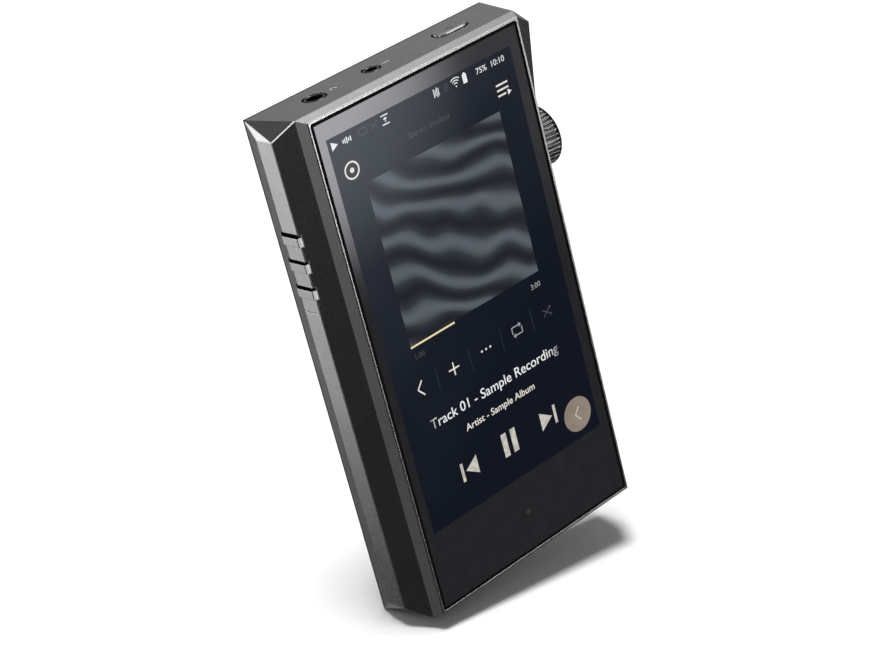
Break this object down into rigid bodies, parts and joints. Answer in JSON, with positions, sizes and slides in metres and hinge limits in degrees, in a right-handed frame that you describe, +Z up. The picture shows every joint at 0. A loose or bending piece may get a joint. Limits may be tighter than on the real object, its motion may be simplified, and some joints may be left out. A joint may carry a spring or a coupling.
{
  "type": "digital audio player",
  "caption": "Pocket audio player with faceted metal body, glass front and back, side volume wheel, step-shaped side keys, power key, headphone sockets and a base charging socket.",
  "frame": {"origin": "middle of the base, where the player stands on its bottom end", "axes": "+Z up the player's length, -Y out of the screen, +X to the right of someone looking at the screen"},
  "size_m": [0.0694, 0.016, 0.1167],
  "materials": {
    "housing_metal": "satin bead-blasted, dark gunmetal",
    "key_metal": "satin, dark gunmetal",
    "knob_metal": "machined flutes, polished",
    "end_cap_metal": "spun, concentric grain",
    "collar_metal": "satin",
    "front_glass": "polished, black printed border",
    "rear_glass": "polished, black backing",
    "tape": "black foam tape",
    "display": "glossy",
    "backlight": "white film stack",
    "flex": "amber film",
    "frame_metal": "cast, machined",
    "steel": "plain",
    "brass": "turned",
    "gold": "gold plated",
    "circuit_board": "solder mask over glass laminate",
    "chip": "moulded",
    "moulding": "moulded",
    "plunger": "moulded",
    "clear": "clear moulded",
    "capacitor": "moulded",
    "module": "plain can",
    "battery": "satin, aluminium laminate pouch",
    "battery_wire": "film"
  },
  "bodies": {
    "player": {"housing": "housing_metal", "front_glass": "front_glass", "front_glass_gasket": "tape", "rear_plate": "rear_glass", "rear_plate_tape": "tape", "display_panel": "display", "backlight_unit": "backlight", "display_flex": "flex", "midframe": "frame_metal", "midframe_screws": "steel", "home_light_guide": "clear", "home_led": "clear", "home_key_flex": "flex", "wheel_bushing": "brass", "bushing_nut": "brass", "wheel_encoder": "moulding", "power_switch": "moulding", "side_switches": "moulding", "side_key_board": "circuit_board", "side_key_bracket": "steel", "jack_3p5_collar": "collar_metal", "jack_3p5_body": "moulding", "jack_3p5_contacts": "gold", "jack_2p5_collar": "collar_metal", "jack_2p5_body": "moulding", "jack_2p5_contacts": "gold", "usb_shell": "steel", "usb_tongue": "moulding", "card_shell": "steel", "main_board": "circuit_board", "lower_board": "circuit_board", "board_screws": "steel", "board_connectors": "moulding", "link_flex": "flex", "antenna_flex": "flex", "processor": "chip", "memory_chips": "chip", "digital_shield": "steel", "dac_chips": "chip", "clock_oscillators": "steel", "audio_shield": "steel", "op_amps": "chip", "film_capacitors": "capacitor", "wireless_module": "module", "battery_cell": "battery", "battery_strap": "steel", "battery_lead": "battery_wire", "battery_connector": "moulding"},
    "volume_wheel": {"volume_knob": "knob_metal", "knob_end_cap": "end_cap_metal", "wheel_shaft": "steel"},
    "power_key": {"power_button": "key_metal", "power_switch_plunger": "plunger"},
    "previous_key": {"previous_button": "key_metal", "previous_plunger": "plunger"},
    "play_key": {"play_button": "key_metal", "play_plunger": "plunger"},
    "next_key": {"next_button": "key_metal", "next_plunger": "plunger"},
    "card_tray": {"card_carriage": "moulding"}
  },
  "joints": [
    {"name": "volume_wheel_turn", "type": "hinge", "parent": "player", "child": "volume_wheel", "pos_m": [0.032, 0, 0.0857], "axis": [1, 0, 0], "continuous": true},
    {"name": "power_key_press", "type": "slide", "parent": "player", "child": "power_key", "axis": [0, 0, -1], "range_m": [0, 0.0004], "stiffness_N_per_m": 3000, "springref_m": -0.0001},
    {"name": "previous_key_press", "type": "slide", "parent": "player", "child": "previous_key", "axis": [1, 0, 0], "range_m": [0, 0.00035], "stiffness_N_per_m": 3000, "springref_m": -0.0001},
    {"name": "play_key_press", "type": "slide", "parent": "player", "child": "play_key", "axis": [1, 0, 0], "range_m": [0, 0.00035], "stiffness_N_per_m": 3000, "springref_m": -0.0001},
    {"name": "next_key_press", "type": "slide", "parent": "player", "child": "next_key", "axis": [1, 0, 0], "range_m": [0, 0.00035], "stiffness_N_per_m": 3000, "springref_m": -0.0001},
    {"name": "card_tray_push", "type": "slide", "parent": "player", "child": "card_tray", "axis": [0, 0, 1], "range_m": [0, 0.001], "stiffness_N_per_m": 400, "springref_m": -0.0005}
  ]
}
